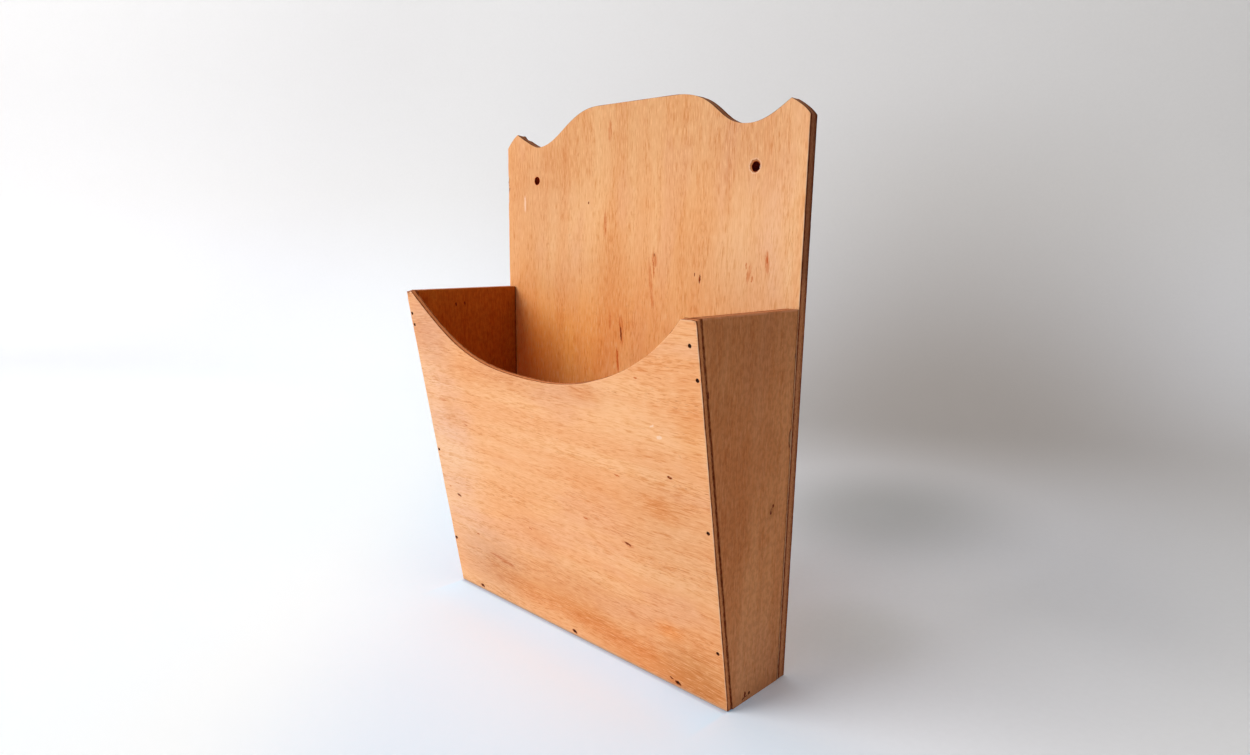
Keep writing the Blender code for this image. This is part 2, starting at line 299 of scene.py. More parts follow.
def round_edges(form, edges, radius, segments):
    bmesh.ops.bevel(
        form, geom=edges, offset=radius, offset_type="OFFSET", segments=segments, profile=0.5,
        affect="EDGES", clamp_overlap=True, material=-1,
    )
    bmesh.ops.dissolve_degenerate(form, dist=TINY_EDGE, edges=form.edges)


def sharp_corners(form):
    """The short edges through the thickness where the outline turns a corner."""
    edges = []
    for edge in form.edges:
        along = (edge.verts[1].co - edge.verts[0].co).normalized()
        if abs(along.z) > 0.9 and edge.calc_face_angle(0) > SHARP_TURN:
            edges.append(edge)
    return edges


def arrises(form, above=None):
    """The edges between the two flat faces and what is cut square to them, or only those above a height."""
    edges = []
    for edge in form.edges:
        if len(edge.link_faces) == 2:
            tops = [abs(face.normal.z) > 0.95 for face in edge.link_faces]
            high = above is None or min(vert.co.y for vert in edge.verts) > above
            if tops[0] != tops[1] and high:
                edges.append(edge)
    return edges


def score(form, faces, point, across):
    """Divides the faces along a plane through a point."""
    bmesh.ops.bisect_plane(form, geom=with_parts(faces), dist=SNAP, plane_co=point, plane_no=across)


def cut_layers(form, depths):
    """Rings round the board's edge at these heights in its thickness."""
    for depth in depths:
        around = [face for face in form.faces if abs(face.normal.z) < 0.9]
        score(form, around, (0, 0, depth), (0, 0, 1))


def cut_lattice(form, step):
    """Divides the flat faces into cells, so that they can be worn and waved."""
    points = [vert.co for vert in form.verts]
    for axis in (0, 1):
        first, last = min(point[axis] for point in points), max(point[axis] for point in points)
        count = round((last - first) / step)
        across = Vector((0, 0, 0))
        across[axis] = 1
        for number in range(1, count):
            place = across * (first + (last - first) * number / count)
            score(form, flat_faces(form), place, across)


def refine(form, centre, reach, step):
    """Cuts the flat face round a point of it into small cells."""
    centre = Vector(centre)
    count = max(2, round(2 * reach / step))
    for axis in (0, 1):
        across = Vector((0, 0, 0))
        across[axis] = 1
        for number in range(count + 1):
            same_side = [face for face in flat_faces(form) if face.normal.z * centre.z > 0]
            limit = reach + FACE_STEP
            near = [face for face in same_side if (face.calc_center_median() - centre).length < limit]
            offset = reach * (2 * number / count - 1)
            score(form, near, centre + across * offset, across)


def dent(form, centre, half_size, angle, depth, rim=0.0):
    """Presses an elliptical hollow into a face, with an optional raised rim round it."""
    side = math.copysign(1, centre[2])
    turn = Matrix.Rotation(-angle, 2)
    for vert in form.verts:
        if vert.co.z * side <= 0:
            continue
        away = turn @ Vector((vert.co.x - centre[0], vert.co.y - centre[1]))
        ratio = math.hypot(away.x / half_size[0], away.y / half_size[1])
        if ratio < 1.8:
            hollow = depth * math.exp(-2.5 * ratio**2)
            raised = rim * math.exp(-6 * (ratio - 1.15) ** 2)
            vert.co.z -= side * (hollow - raised)


def chip(form, centre, inward, reach, depth, seed):
    """Breaks a flake out of an edge: points near the centre move inward, unevenly."""
    centre, inward = Vector(centre), Vector(inward).normalized()
    for vert in form.verts:
        away = (vert.co - centre).length / reach
        if away < 1:
            rough = 0.65 + 0.5 * noise.noise(vert.co / (1.3 * MM) + Vector((seed, 0, 0)))
            vert.co += inward * depth * (1 - away**2) * max(0, rough)


def weather(form, thickness, ply, seed):
    """Uneven faces, worn arrises and a core that has shrunk a little between its face plies."""
    half = thickness / 2
    shift = Vector((seed * 7.3, seed * 3.1, 0))
    form.normal_update()
    moves = []
    for vert in form.verts:
        point, outward = vert.co.copy(), vert.normal.copy()
        if abs(point.z) > half - 0.02 * MM:
            swell = 0.5 + 0.5 * noise.noise(point * 22 + shift)
            moves.append((vert, Vector((0, 0, -math.copysign(FACE_SETBACK + FACE_WAVE * swell, point.z)))))
        elif abs(outward.z) > 0.15:
            rubbed = max(0, 0.35 + 0.9 * noise.noise(point * 70 + shift))
            rubbed += 0.25 * noise.noise(point * 420 + shift)
            moves.append((vert, -outward * (FACE_SETBACK + ARRIS_WEAR * max(0, rubbed))))
        elif abs(point.z) < half - ply - 0.05 * MM:
            sunk = 0.6 + 0.5 * noise.noise(Vector((point.x, point.y, point.z * 3)) * 260 + shift)
            moves.append((vert, -outward * (FACE_SETBACK + PLY_STEP_DEPTH * max(0.1, sunk))))
        else:
            moves.append((vert, -outward * FACE_SETBACK))
    for vert, move in moves:
        vert.co += move


def add_plies_and_wear(form, flat, ply, core_lines=(0,)):
    """Lines for the plies round a board's edge, cells on its faces, and wear on both."""
    inner = flat.thickness / 2 - ply
    glued = inner - GLUE_WIDTH
    cut_layers(form, (inner, glued, *core_lines, -glued, -inner))
    cut_lattice(form, FACE_STEP)
    weather(form, flat.thickness, ply, flat.seed)


def add_to_scene(name, data):
    made = bpy.data.objects.new(name, data)
    bpy.context.scene.collection.objects.link(made)
    return made


def new_object(name, form, place=Matrix.Identity(4)):
    bmesh.ops.remove_doubles(form, verts=form.verts, dist=SAME_PLACE)
    bmesh.ops.transform(form, matrix=place, verts=form.verts)
    mesh = bpy.data.meshes.new(name)
    form.to_mesh(mesh)
    form.free()
    return add_to_scene(name, mesh)


def settle(obj):
    """Applies the object's modifiers, and puts the result in its place."""
    bpy.context.view_layer.update()
    evaluated = obj.evaluated_get(bpy.context.evaluated_depsgraph_get())
    finished = bpy.data.meshes.new_from_object(evaluated)
    old = obj.data
    obj.modifiers.clear()
    obj.data = finished
    finished.name = obj.name
    bpy.data.meshes.remove(old)


def cut_away(obj, cutters):
    """Cuts closed forms out of the object, one joined cutter at a time."""
    for number, form in enumerate(cutters):
        tool = new_object(f"{obj.name}_cutter_{number}", form)
        cut = obj.modifiers.new("cut", "BOOLEAN")
        cut.operation = "DIFFERENCE"
        cut.solver = "EXACT"
        cut.object = tool
        settle(obj)
        bpy.data.objects.remove(tool)


def smooth_by_angle(obj, angle=32):
    """Smooth shading with crisp breaks, where large faces keep their own direction."""
    obj.data.shade_smooth()
    obj.data.set_sharp_from_angle(angle=math.radians(angle))
    weighted = obj.modifiers.new("large_faces_stay_flat", "WEIGHTED_NORMAL")
    weighted.keep_sharp = True
    weighted.weight = 90
    settle(obj)


# Pins and their holes

def turned_form(profile, sides):
    """A closed turned solid from (radius, height) points, from its top to its bottom, about +Z."""
    form = bmesh.new()
    chain, edges = open_chain(form, [(radius, 0, height) for radius, height in profile])
    bmesh.ops.spin(
        form, geom=chain + edges, cent=(0, 0, 0), axis=(0, 0, 1), angle=2 * math.pi,
        steps=sides, use_merge=True,
    )
    bmesh.ops.remove_doubles(form, verts=form.verts, dist=0.0005 * MM)
    face_outwards(form)
    return form


def pin_direction(name):
    """Which way a pin's head faces, from the board that it is driven into."""
    if name.startswith("front_pin_foot"):
        return Vector((0, -1, 0))
    if name.startswith("front_pin"):
        return front.w
    if name.startswith("back_pin"):
        return Vector((0, 1, 0))
    return Vector((-1 if name.endswith("left") else 1, 0, 0))


def pin_ends(name):
    """The middle of a pin's head, its direction and its length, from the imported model."""
    outward = pin_direction(name)
    corners = [vertex.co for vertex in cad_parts[name].data.vertices]
    reach = [outward.dot(corner) for corner in corners]
    top = max(reach)
    head = [corner for corner, along in zip(corners, reach) if along > top - 0.05 * MM]
    middle = sum(head, Vector()) / len(head)
    return middle, outward, top - min(reach)


def stand_on(point, outward):
    """The transform that takes a form about +Z to a point, with +Z along the outward direction."""
    return Matrix.Translation(point) @ outward.to_track_quat("Z", "Y").to_matrix().to_4x4()


PINS = sorted(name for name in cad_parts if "_pin_" in name)
PIN_SIDES = 20


def make_pin(name):
    """A thin panel pin: a small head with the punch's dimple, rings under it and a cut point."""
    middle, outward, length = pin_ends(name)
    head, shank = PIN_HEAD / 2, PIN_SHANK / 2
    profile = [(0, -0.22 * MM), (0.25 * head, -0.2 * MM), (0.42 * head, -0.06 * MM), (0.7 * head, 0)]
    profile += [(0.9 * head, -0.03 * MM), (head, -0.14 * MM), (head, -0.5 * MM), (0.93 * head, -0.6 * MM)]
    profile.append((shank, -1.0 * MM))
    for ring in range(4):
        height = -1.5 * MM - ring * 0.45 * MM
        profile += [(shank, height), (0.9 * shank, height - 0.1 * MM), (shank, height - 0.2 * MM)]
    profile += [(shank, -length + 1.8 * MM), (0.55 * shank, -length + 0.8 * MM), (0, -length)]
    pin = new_object(f"panel_{name}", turned_form(profile, PIN_SIDES), stand_on(middle, outward))
    smooth_by_angle(pin, 40)
    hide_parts(name)
    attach(pin, "root")
    return pin


def pin_hole(name, seed):
    """The hole that a pin and its punch leave: ragged and longer along the grain at its mouth."""
    middle, outward, length = pin_ends(name)
    head, shank = PIN_HEAD / 2 + PIN_CLEARANCE, PIN_SHANK / 2 + PIN_CLEARANCE
    mouth = PIN_SUNK
    profile = [(0, mouth + 2 * MM), (head, mouth + 2 * MM), (head, mouth + 0.3 * MM)]
    profile += [(0.96 * head, mouth - 0.15 * MM), (0.93 * head, mouth - 0.5 * MM), (head, 0)]
    below = -length - 0.1 * MM
    profile += [(head, -0.72 * MM), (shank, -1.15 * MM), (shank, below), (0, below)]
    form = turned_form(profile, PIN_SIDES)
    for vert in form.verts:
        if vert.co.z > 0.2 * MM:
            ragged = noise.noise(vert.co / (0.5 * MM) + Vector((seed * 5.1, 0, 0)))
            vert.co.xy *= 1 + 0.12 * ragged
    bmesh.ops.transform(form, matrix=stand_on(middle, outward), verts=form.verts)
    return form


def joined(forms):
    """Several closed forms in one, for a single cut."""
    whole = bmesh.new()
    for form in forms:
        mesh = bpy.data.meshes.new("part")
        form.to_mesh(mesh)
        form.free()
        whole.from_mesh(mesh)
        bpy.data.meshes.remove(mesh)
    return whole


def pin_holes(*starts):
    """One cutter for all the pins whose names start in one of these ways."""
    names = [name for name in PINS if name.startswith(starts)]
    return joined([pin_hole(name, PINS.index(name)) for name in names])


def soften_pin_mouths(form, flat, side, *starts):
    """Fine cells and a shallow crushed ring round each pin's mouth on one face of a board."""
    for name in PINS:
        if name.startswith(starts):
            middle, outward, _ = pin_ends(name)
            centre = flat.local(middle + outward * PIN_SUNK)
            centre.z = side * flat.thickness / 2
            refine(form, centre, 2.2 * MM, 0.55 * MM)
            dent(form, centre, (1.5 * MM, 1.35 * MM), 0, 0.14 * MM, 0.03 * MM)


# The five boards

def make_back_board():
    form = slab(back_outline(), back.thickness)
    round_edges(form, sharp_corners(form), CORNER_ROUND, 3)
    round_edges(form, arrises(form), ARRIS_ROUND, ARRIS_SEGMENTS)
    half = back.thickness / 2
    add_plies_and_wear(form, back, FACE_PLY)
    for u, v in (LEFT_HOLE, RIGHT_HOLE):
        refine(form, (u, v, half), 5.4 * MM, 0.6 * MM)
    crushed = (RIGHT_HOLE.x - 0.4 * MM, RIGHT_HOLE.y + 0.3 * MM, half)
    dent(form, crushed, (3.3 * MM, 3.5 * MM), 0, 0.5 * MM, 0.1 * MM)
    dent(form, (*LEFT_HOLE, half), (2.9 * MM, 3.0 * MM), 0, 0.25 * MM, 0.06 * MM)
    horn_top = back.high.y - TOPS["left"]["horn"][1]
    on_horn = (-HALF_WIDTH + 7.5 * MM, horn_top - 1.5 * MM, -0.5 * half)
    chip(form, on_horn, (0.25, -1, 0.2), 4.0 * MM, 1.2 * MM, 3)
    beside_horn = (-HALF_WIDTH + 14.5 * MM, horn_top - 1.8 * MM, -half)
    chip(form, beside_horn, (0, -1, 0.6), 3.0 * MM, 1.3 * MM, 5)
    for v, depth in LEFT_ARRIS_CHIPS:
        chip(form, (-HALF_WIDTH, v * MM, half), (1, 0, -0.9), 4.0 * MM, depth * MM, v)
    obj = new_object("back_board_sawn", form, back.place)
    holes = []
    wide, narrow = HANGING_HOLE / 2, HANGING_HOLE / 2 - HOLE_TAPER
    for (u, v), seed in ((LEFT_HOLE, 2), (RIGHT_HOLE, 9)):
        profile = [(0, half + 2 * MM), (wide, half + 2 * MM), (wide, half - 0.6 * MM)]
        profile += [(narrow, 0), (narrow, -half - 2 * MM), (0, -half - 2 * MM)]
        hole = turned_form(profile, 40)
        for vert in hole.verts:
            flattened = Vector((vert.co.x, vert.co.y, 0))
            vert.co.xy *= 1 + 0.05 * noise.noise(flattened / (1.5 * MM) + Vector((seed, 0, 0)))
        bmesh.ops.transform(hole, matrix=back.place @ Matrix.Translation((u, v, 0)), verts=hole.verts)
        holes.append(hole)
    cut_away(obj, [joined(holes), pin_holes("back_pin")])
    return obj


def make_front_panel():
    form = slab(front_outline(), front.thickness)
    plane_off(form, front.local((0, WALL_Y, 0)), front.inverse.to_3x3() @ Vector((0, 0, -1)))
    round_edges(form, sharp_corners(form), CORNER_ROUND, 3)
    round_edges(form, arrises(form), ARRIS_ROUND, ARRIS_SEGMENTS)
    half = front.thickness / 2
    add_plies_and_wear(form, front, THIN_FACE_PLY, core_lines=())
    soften_pin_mouths(form, front, 1, "front_pin")
    foot, rim = front.low.y, front.high.y
    chip(form, (HALF_WIDTH, foot, half), (-1, 1.2, -0.6), 5.0 * MM, 0.6 * MM, 11)
    chip(form, (HALF_WIDTH, rim, half), (-0.6, -1, -0.9), 2.6 * MM, 0.4 * MM, 12)
    chip(form, (-HALF_WIDTH, rim, half), (1, -0.8, -0.6), 5.0 * MM, 0.8 * MM, 13)
    for u, v, size, angle, depth in FRONT_DENTS:
        middle = (u * MM, v * MM, half)
        refine(form, middle, max(size) * 1.8 * MM, min(size) * 0.5 * MM)
        half_size = (size[0] * MM, size[1] * MM)
        dent(form, middle, half_size, math.radians(angle), depth * MM, 0.02 * MM)
    obj = new_object("front_panel_sawn", form, front.place)
    cut_away(obj, [pin_holes("front_pin")])
    return obj


def make_side(flat):
    """A tapered side: its outline is the pocket's section, seen along the board's own u and v."""
    outline = [flat.local((0, y, z)).to_2d() for y, z in pocket_outline(POCKET_HEIGHT)]
    form = slab(outline, flat.thickness)
    round_edges(form, sharp_corners(form), ARRIS_ROUND, 2)
    round_edges(form, arrises(form, above=flat.high.y - 0.2 * MM), RUBBED_ROUND, 4)
    unrounded = [edge for edge in arrises(form) if edge.calc_face_angle(0) > 1.2]
    round_edges(form, unrounded, ARRIS_ROUND, ARRIS_SEGMENTS)
    add_plies_and_wear(form, flat, FACE_PLY)
    if flat is right:
        add_right_side_marks(form)
    obj = new_object(f"{flat.node}_sawn", form, flat.place)
    cut_away(obj, [pin_holes(*[f"{kind}_pin_{flat.side}" for kind in ("front", "back", "side")])])
    return obj


def add_right_side_marks(form):
    """The sunken knot and the gap left in the joint with the back board; the split above the foot is only a
    dark mark in the finish.
    """
    half = right.thickness / 2
    knot = right.local((0, WALL_Y - 20.4 * MM, 99 * MM))
    refine(form, (knot.x, knot.y, half), 6 * MM, 0.9 * MM)
    dent(form, (knot.x, knot.y, half), (1.4 * MM, 3.6 * MM), math.radians(-20), 0.35 * MM)
    void = right.local((0, BACK_FACE_Y, 133 * MM))
    refine(form, (void.x - 2 * MM, void.y, half), 4.5 * MM, 0.8 * MM)
    for offset in (-2.4, -0.8, 0.8, 2.4):
        chip(form, (void.x, void.y + offset * MM, half), (-1, 0, -1.2), 2.0 * MM, 1.0 * MM, offset)


def make_bottom_board():
    """The strip that closes the foot: the pocket's section, drawn out between the sides."""
    length = 2 * (SIDE_INNER_X - JOINT_GAP)
    form = slab(pocket_outline(bottom.thickness), length)
    turn = Matrix(((0, 0, 1), (1, 0, 0), (0, 1, 0))).to_4x4()
    round_edges(form, sharp_corners(form), ARRIS_ROUND, 2)
    obj = new_object("bottom_board_sawn", form, turn)
    cut_away(obj, [pin_holes("front_pin_foot", "back_pin_foot", "side_pin")])
    return obj


# Marks on the front panel: across and up in mm, half sizes, turn in degrees and depth
FRONT_DENTS = (
    (84.7, 143.9, (2.0, 1.2), 10, 0.1),
    (88.6, 124.5, (1.7, 0.6), -6, 0.25),
    (55.1, 79.2, (2.4, 0.7), -12, 0.25),
    (-96.8, 69.2, (1.8, 0.7), -15, 0.2),
)


# Finishes

class Finish:
    """A material's nodes, with a short call for each kind that the finishes are built from."""

    def __init__(self, name):
        self.material = bpy.data.materials.new(name)
        self.material.use_nodes = True
        self.tree = self.material.node_tree
        self.shader = self.tree.nodes["Principled BSDF"]
        coordinates = self.tree.nodes.new("ShaderNodeTexCoord")
        self.object_place = coordinates.outputs["Object"]

    def set(self, socket, value):
        if isinstance(value, bpy.types.NodeSocket):
            self.tree.links.new(value, socket)
        elif hasattr(value, "__len__") and len(value) == 3 and socket.type == "RGBA":
            socket.default_value = (*value, 1.0)
        else:
            socket.default_value = value

    def node(self, kind, inputs, **settings):
        """A new node with its settings made and its inputs set or linked, as its outputs."""
        made = self.tree.nodes.new(f"ShaderNode{kind}")
        for name, value in settings.items():
            setattr(made, name, value)
        for name, value in inputs.items():
            self.set(made.inputs[name], value)
        return made.outputs

    def mapped(self, vector, location=(0, 0, 0), rotation=(0, 0, 0), scale=(1, 1, 1), kind="POINT"):
        inputs = {"Vector": vector, "Location": location, "Rotation": rotation, "Scale": scale}
        return self.node("Mapping", inputs, vector_type=kind)["Vector"]

    def noise(self, vector, detail=2.0, roughness=0.5, colour=False):
        inputs = {"Vector": vector, "Scale": 1.0, "Detail": detail, "Roughness": roughness}
        return self.node("TexNoise", inputs)["Color" if colour else "Fac"]

    def math(self, operation, first, second=0.0):
        return self.node("Math", {0: first, 1: second}, operation=operation)[0]

    def times(self, first, second):
        return self.math("MULTIPLY", first, second)

    def apart(self, first, second):
        return self.math("ABSOLUTE", self.math("SUBTRACT", first, second))

    def vector_math(self, operation, first, second=(0, 0, 0)):
        outputs = self.node("VectorMath", {0: first, 1: second}, operation=operation)
        return outputs["Value" if operation in ("LENGTH", "DOT_PRODUCT") else "Vector"]

    def swayed(self, vector, fineness, reach):
        """The place pushed about by soft noise, up to half of reach along each axis."""
        push = self.noise(self.mapped(vector, scale=(fineness,) * 3), detail=1.0, colour=True)
        push = self.vector_math("MULTIPLY", self.vector_math("SUBTRACT", push, (0.5, 0.5, 0.5)), reach)
        return self.vector_math("ADD", vector, push)

    def ramp(self, value, low, high, start=0.0, end=1.0):
        """Turns low to high of a value into start to end, gently."""
        inputs = {"Value": value, "From Min": low, "From Max": high, "To Min": start, "To Max": end}
        return self.node("MapRange", inputs, interpolation_type="SMOOTHSTEP")["Result"]

    def mix(self, factor, first, second, blend="MIX"):
        inputs = {"Factor": factor, "A": first, "B": second}
        return self.node("Mix", inputs, data_type="RGBA", blend_type=blend)["Result"]

    def tinted(self, factor, colour, tint):
        return self.mix(factor, colour, tint, "MULTIPLY")

    def parts(self, vector):
        return self.node("SeparateXYZ", {0: vector})

    def bump(self, height, distance, strength):
        bumped = self.node("Bump", {"Strength": strength, "Distance": distance, "Height": height})
        self.set(self.shader.inputs["Normal"], bumped["Normal"])

    def patch(self, vector, centre, reach, turn=0):
        """Distance from a patch's middle, where 1 is its rim."""
        place = self.mapped(vector, centre, (0, 0, math.radians(turn)), reach, "TEXTURE")
        return self.vector_math("LENGTH", place)

    def around(self, vector, across, up, half_length, half_width, turn):
        """The same for a mark on a board: its measures are in mm, its turn in degrees."""
        reach = (half_length * MM, half_width * MM, 1.0)
        return self.patch(vector, (across * MM, up * MM, 0), reach, turn)

    def marks(self, vector, places):
        """One mask for many small elliptical marks."""
        total = None
        for place in places:
            mask = self.ramp(self.around(vector, *place), 1.15, 0.7)
            total = mask if total is None else self.math("MAXIMUM", total, mask)
        return total

    def seen_directly(self):
        """1 where the camera sees the surface, straight or in a gloss or through a clear thing."""
        path = self.tree.nodes.new("ShaderNodeLightPath")
        seen = self.math("MAXIMUM", path.outputs["Is Camera Ray"], path.outputs["Is Glossy Ray"])
        return self.math("MAXIMUM", seen, path.outputs["Is Transmission Ray"])

    def shade(self, values):
        for name, value in values.items():
            self.set(self.shader.inputs[name], value)

    def along_edge(self, place, edge, sharp, strength=1.0):
        """A band inside a straight edge: its outward direction, how far out it lies and its width in mm."""
        across, up, reach, width = edge
        inside = self.math("SUBTRACT", reach, self.vector_math("DOT_PRODUCT", place, (across, up, 0)))
        return self.ramp(inside, width * MM, sharp * width * MM, 0, strength)


# Colours of the wood, and tints that multiply them; some of them also paint shade into joints, holes and
# the foot
DARK_FLECK = (0.28, 0.08, 0.02)
FAINT_FLECK = (0.78, 0.45, 0.28)
RED_STREAK = (0.85, 0.61, 0.48)
STROKE = (0.95, 0.87, 0.78)
DASH = (0.895, 0.76, 0.62)
DEEP_PORE = (0.66, 0.42, 0.27)
# Dirt and painted shade along the sides' joints with the back board and the front panel
JOINT_DIRT_AND_SHADE = (0.42, 0.24, 0.12)
# Stain and painted shade in the hanging holes
HOLE_STAIN_AND_SHADE = (1.0, 0.30, 0.08)
CRUSHED = (0.50, 0.30, 0.16)
PALE_WOOD = srgb(240, 196, 160)
BARE_WOOD = srgb(252, 214, 184)
# Wear and painted shade along the front panel's foot
SCUFFED_AND_SHADED = srgb(214, 165, 132)
GLUE_LINE = srgb(118, 48, 14)
RUBBED_SIDE = srgb(222, 150, 106)
DARK_EDGE = (0.64, 0.58, 0.58)
MOTTLE = (0.84, 0.79, 0.76)


def plywood(name, flat, look):
    """Varnished veneer: figure and pores, the marks on it, rubbed arrises, and plies along the edges.

    look has the way the face grain runs ("u" or "v"), the tones of the face (light, warm, deep, sheen and
    blush) and of the core as a screen shows them, the dark lines along its edges, and the places of its
    tints (some of them painted light and shade), marks, rubbed edges, and joints darkened by dirt and
    painted shade.
    """
    finish = Finish(name)
    ramp, mix, times, tinted = finish.ramp, finish.mix, finish.times, finish.tinted
    half = flat.thickness / 2
    place = finish.mapped(finish.object_place, flat.inverse.to_translation(), flat.inverse.to_euler())
    seed = flat.seed
    turn = 0 if look["grain"] == "v" else math.radians(90)
    grained = finish.mapped(place, (seed * 0.37, seed * 0.91, seed * 0.13), (0, 0, turn))
    grained = finish.swayed(grained, 14, (5.0 * MM, 0, 0))

    def layer(across, up, through=120.0, **settings):
        return finish.noise(finish.mapped(grained, scale=(across, up, through)), **settings)

    drift = layer(24, 9, detail=1.0)
    bands = layer(110, 5)
    groups = layer(230, 17)
    strokes = layer(700, 60, 300)
    dashes = layer(1600, 160, 450, roughness=0.6)
    pores = layer(2600, 320, 900, detail=1.0)
    light, warm, deep, sheen, blush = [srgb(*tone) for tone in look["tones"]]
    core = [srgb(*tone) for tone in look["core"]]

    colour = mix(ramp(bands, 0.36, 0.64), light, warm)
    colour = mix(ramp(drift, 0.42, 0.70, 0, 0.75), colour, deep)
    colour = mix(ramp(layer(42, 14), 0.50, 0.68, 0, 0.6), colour, blush)
    for *where, tint, strength in look.get("tints", ()):
        mask = ramp(finish.around(place, *where), 1.0, 0.1, 0, strength)
        colour = tinted(mask, colour, tint)

    if "mottled" in look:
        blots = finish.noise(finish.mapped(place, scale=(420, 330, 300)), detail=3.0)
        colour = tinted(ramp(blots, 0.40, 0.62, 0, look["mottled"]), colour, MOTTLE)

    dense = ramp(groups, 0.34, 0.66, 0.35, 1.0)
    for wave, low, high, tint in ((strokes, 0.48, 0.68, STROKE), (dashes, 0.50, 0.64, DASH)):
        mask = times(ramp(wave, low, high, 0, look["figure"]), dense)
        colour = tinted(mask, colour, tint)
    colour = mix(ramp(dashes, 0.46, 0.32, 0, 0.4), colour, sheen)
    pore_mask = times(ramp(pores, 0.60, 0.72), ramp(groups, 0.45, 0.75, 0.2, 1.0))
    colour = tinted(times(pore_mask, 0.6), colour, DEEP_PORE)

    marked = finish.swayed(place, 800, (1.0 * MM, 1.0 * MM, 0))
    marked = finish.vector_math("MULTIPLY", marked, (1, 1, 0))
    marks = {kind: finish.marks(marked, places) for kind, places in look.get("marks", {}).items()}
    if "streaks" in marks:
        broken = ramp(dashes, 0.35, 0.6, 0.4, 1.0)
        colour = tinted(times(marks["streaks"], broken), colour, RED_STREAK)
    if "pale" in marks:
        colour = mix(times(marks["pale"], 0.75), colour, BARE_WOOD)
    for kind, tint in (("faint", FAINT_FLECK), ("flecks", DARK_FLECK)):
        if kind in marks:
            colour = tinted(marks[kind], colour, tint)

    rubbed = ramp(layer(150, 150, 150, detail=3.0), 0.36, 0.58, 0.25, 1.0)
    for edge in look.get("rubbed_edges", ()):
        line = times(finish.along_edge(place, edge, 0.3, 0.85), rubbed)
        colour = mix(line, colour, look["rubbed"])
    # A greyer, darker band along the front panel's foot: partly scuffed wear, partly painted shade where
    # the foot meets the floor
    for edge in look.get("scuffed_and_shaded_edges", ()):
        colour = mix(finish.along_edge(place, edge, 0.4), colour, SCUFFED_AND_SHADED)
    uneven = ramp(layer(420, 420, 420), 0.34, 0.6, 0.55, 1.0)

    depth = finish.parts(finish.swayed(place, 160, (0, 0, 0.5 * MM)))[2]
    core_grain = finish.noise(finish.mapped(place, scale=(700, 700, 2600)), detail=3.0, roughness=0.7)
    edges = mix(ramp(core_grain, 0.35, 0.65), *core)
    for middle, width, strength in look["dark_plies"]:
        away = finish.apart(depth, middle * MM)
        line = times(ramp(away, width * MM, 0.5 * width * MM, 0, strength), uneven)
        edges = mix(line, edges, GLUE_LINE)
    _, height, level = finish.parts(place)
    if "dark_above" in look:
        start = look["dark_above"]
        edges = tinted(ramp(height, start * MM, (start + 12) * MM), edges, DARK_EDGE)
    if "pale_arris" in look:
        pale_arris = times(ramp(level, half - 0.40 * MM, half - 0.26 * MM), rubbed)
        edges = mix(times(pale_arris, look["pale_arris"]), edges, look["rubbed"])
    # Faces turned into the pocket are darkened and made more orange: painted shade and bounce light inside
    # the pocket
    if "inner" in look:
        pocket_shade_mask = ramp(level, 0.25 * MM - half, 0.2 * MM - half)
        colour = tinted(pocket_shade_mask, colour, look["inner"])
    out = finish.math("ABSOLUTE", level)
    face_mask = ramp(out, half - 0.34 * MM, half - 0.2 * MM)
    colour = mix(face_mask, edges, colour)
    # Bands along the sides' joints: partly dirt, partly painted shade in the grooves of the joints
    for edge in look.get("dirty_shaded_edges", ()):
        colour = tinted(times(finish.along_edge(place, edge, 0.35), uneven), colour, JOINT_DIRT_AND_SHADE)
    # Dark hanging holes: partly stain, partly painted shade on their walls; the ring round the right hole
    # is crushed wood
    for across, up, radius, stain in look.get("dark_holes", ()):
        hole = ramp(finish.around(marked, across, up, radius, radius, 0), 1.12, 0.98)
        colour = tinted(hole, colour, stain)

    satin = finish.math("ADD", ramp(drift, 0.3, 0.7, 0.42, 0.50), times(pore_mask, 0.12))
    bare = times(finish.math("SUBTRACT", 1.0, face_mask), 0.3)
    roughness = finish.math("ADD", satin, bare)
    finish.shade({"Base Color": colour, "Roughness": roughness, "Specular IOR Level": 0.05})
    finish.bump(finish.math("SUBTRACT", times(dashes, -0.5), pore_mask), 0.05 * MM, 0.5)
    return finish.material


def pin_steel():
    """Dull steel with brown rust."""
    finish = Finish("dull_pin_steel")
    spotted = finish.noise(finish.mapped(finish.object_place, scale=(1100, 1100, 1100)), detail=4.0)
    rust = finish.ramp(spotted, 0.32, 0.54)
    finish.shade({
        "Base Color": finish.mix(rust, srgb(62, 50, 44), srgb(66, 26, 10)),
        "Metallic": finish.math("SUBTRACT", 0.9, finish.times(rust, 0.8)),
        "Roughness": finish.ramp(rust, 0, 1, 0.42, 0.8),
    })
    finish.bump(rust, 0.05 * MM, 0.5)
    return finish.material


